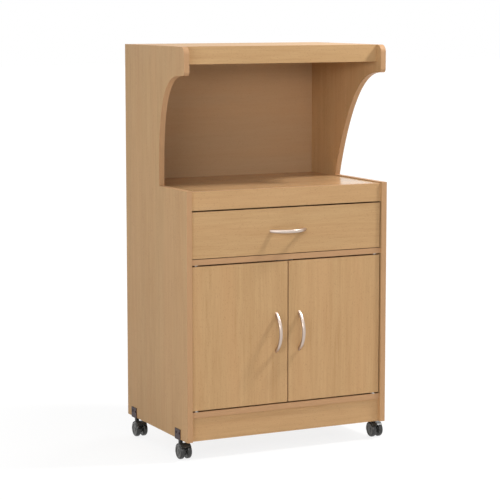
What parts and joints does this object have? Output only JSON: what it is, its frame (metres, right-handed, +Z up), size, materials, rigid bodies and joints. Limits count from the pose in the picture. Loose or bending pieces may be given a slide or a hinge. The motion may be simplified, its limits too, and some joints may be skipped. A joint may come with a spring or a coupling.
{
  "type": "microwave cart",
  "caption": "Rolling kitchen cart with an open microwave hutch over a counter, a drawer, a cabinet with inset doors and swivel casters, in beech-look laminate.",
  "frame": {"origin": "on the floor under the middle of the cart", "axes": "+Z up, -Y towards the front with the doors and the drawer, +X to the right seen from the front"},
  "size_m": [0.619, 0.4308, 1.088],
  "materials": {
    "beech_laminate": "satin laminate with a fine beech grain, paler edge bands",
    "back_print": "hardboard with a printed beech face",
    "hardboard": "matt brown hardboard",
    "dowel_wood": "plain wood",
    "satin_nickel": "satin nickel plate",
    "zinc_steel": "bright zinc plate",
    "runner_enamel": "cream enamel",
    "nylon": "matt off-white nylon",
    "bracket_enamel": "dark brown enamel",
    "caster_plastic": "dark grey moulded plastic with a soft gloss"
  },
  "bodies": {
    "carcass": {"left_side_panel": "beech_laminate", "right_side_panel": "beech_laminate", "top_panel": "beech_laminate", "top_fascia": "beech_laminate", "hutch_back": "back_print", "counter_panel": "beech_laminate", "counter_apron": "beech_laminate", "divider_panel": "beech_laminate", "bottom_panel": "beech_laminate", "plinth": "beech_laminate", "cabinet_back": "hardboard", "cabinet_shelf": "beech_laminate", "shelf_pins": "zinc_steel", "cam_locks": "zinc_steel", "cam_bolts": "zinc_steel", "wooden_dowels": "dowel_wood", "back_nails": "zinc_steel", "left_cabinet_runner": "runner_enamel", "right_cabinet_runner": "runner_enamel", "runner_rollers": "nylon", "runner_screws": "zinc_steel", "pivot_bushings": "nylon", "magnetic_catch": "nylon", "caster_brackets": "bracket_enamel", "caster_stems": "zinc_steel", "caster_screws": "bracket_enamel"},
    "drawer": {"drawer_front": "beech_laminate", "drawer_left_side": "beech_laminate", "drawer_right_side": "beech_laminate", "drawer_back": "beech_laminate", "drawer_bottom": "back_print", "left_drawer_runner": "runner_enamel", "right_drawer_runner": "runner_enamel", "drawer_rollers": "nylon", "drawer_fasteners": "zinc_steel", "drawer_handle": "satin_nickel", "drawer_handle_screws": "zinc_steel"},
    "left_door": {"left_door": "beech_laminate", "left_door_handle": "satin_nickel", "left_door_handle_screws": "zinc_steel", "left_door_pivots": "zinc_steel", "left_door_strike": "zinc_steel"},
    "right_door": {"right_door": "beech_laminate", "right_door_handle": "satin_nickel", "right_door_handle_screws": "zinc_steel", "right_door_pivots": "zinc_steel", "right_door_strike": "zinc_steel"},
    "front_left_swivel": {"front_left_caster_hood": "caster_plastic"},
    "front_left_wheels": {"front_left_caster_wheels": "caster_plastic", "front_left_caster_axle": "zinc_steel"},
    "front_right_swivel": {"front_right_caster_hood": "caster_plastic"},
    "front_right_wheels": {"front_right_caster_wheels": "caster_plastic", "front_right_caster_axle": "zinc_steel"},
    "rear_left_swivel": {"rear_left_caster_hood": "caster_plastic"},
    "rear_left_wheels": {"rear_left_caster_wheels": "caster_plastic", "rear_left_caster_axle": "zinc_steel"},
    "rear_right_swivel": {"rear_right_caster_hood": "caster_plastic"},
    "rear_right_wheels": {"rear_right_caster_wheels": "caster_plastic", "rear_right_caster_axle": "zinc_steel"}
  },
  "joints": [
    {"name": "drawer_slide", "type": "slide", "parent": "carcass", "child": "drawer", "axis": [0, -1, 0], "range_m": [0, 0.26]},
    {"name": "left_door_hinge", "type": "hinge", "parent": "carcass", "child": "left_door", "pos_m": [-0.26894, -0.1789, 0.325], "axis": [0, 0, -1], "range_deg": [0, 110]},
    {"name": "right_door_hinge", "type": "hinge", "parent": "carcass", "child": "right_door", "pos_m": [0.26894, -0.1789, 0.325], "axis": [0, 0, 1], "range_deg": [0, 110]},
    {"name": "front_left_caster_swivel", "type": "hinge", "parent": "carcass", "child": "front_left_swivel", "pos_m": [-0.2925, -0.1304, 0.041], "axis": [0, 0, 1], "continuous": true},
    {"name": "front_left_wheel_roll", "type": "hinge", "parent": "front_left_swivel", "child": "front_left_wheels", "pos_m": [-0.2925, -0.1504, 0.02], "axis": [1, 0, 0], "continuous": true},
    {"name": "front_right_caster_swivel", "type": "hinge", "parent": "carcass", "child": "front_right_swivel", "pos_m": [0.2925, -0.1304, 0.041], "axis": [0, 0, 1], "continuous": true},
    {"name": "front_right_wheel_roll", "type": "hinge", "parent": "front_right_swivel", "child": "front_right_wheels", "pos_m": [0.2925, -0.1504, 0.02], "axis": [1, 0, 0], "continuous": true},
    {"name": "rear_left_caster_swivel", "type": "hinge", "parent": "carcass", "child": "rear_left_swivel", "pos_m": [-0.2925, 0.1656, 0.041], "axis": [0, 0, 1], "continuous": true},
    {"name": "rear_left_wheel_roll", "type": "hinge", "parent": "rear_left_swivel", "child": "rear_left_wheels", "pos_m": [-0.2925, 0.1456, 0.02], "axis": [1, 0, 0], "continuous": true},
    {"name": "rear_right_caster_swivel", "type": "hinge", "parent": "carcass", "child": "rear_right_swivel", "pos_m": [0.2925, 0.1656, 0.041], "axis": [0, 0, 1], "continuous": true},
    {"name": "rear_right_wheel_roll", "type": "hinge", "parent": "rear_right_swivel", "child": "rear_right_wheels", "pos_m": [0.2925, 0.1456, 0.02], "axis": [1, 0, 0], "continuous": true}
  ]
}
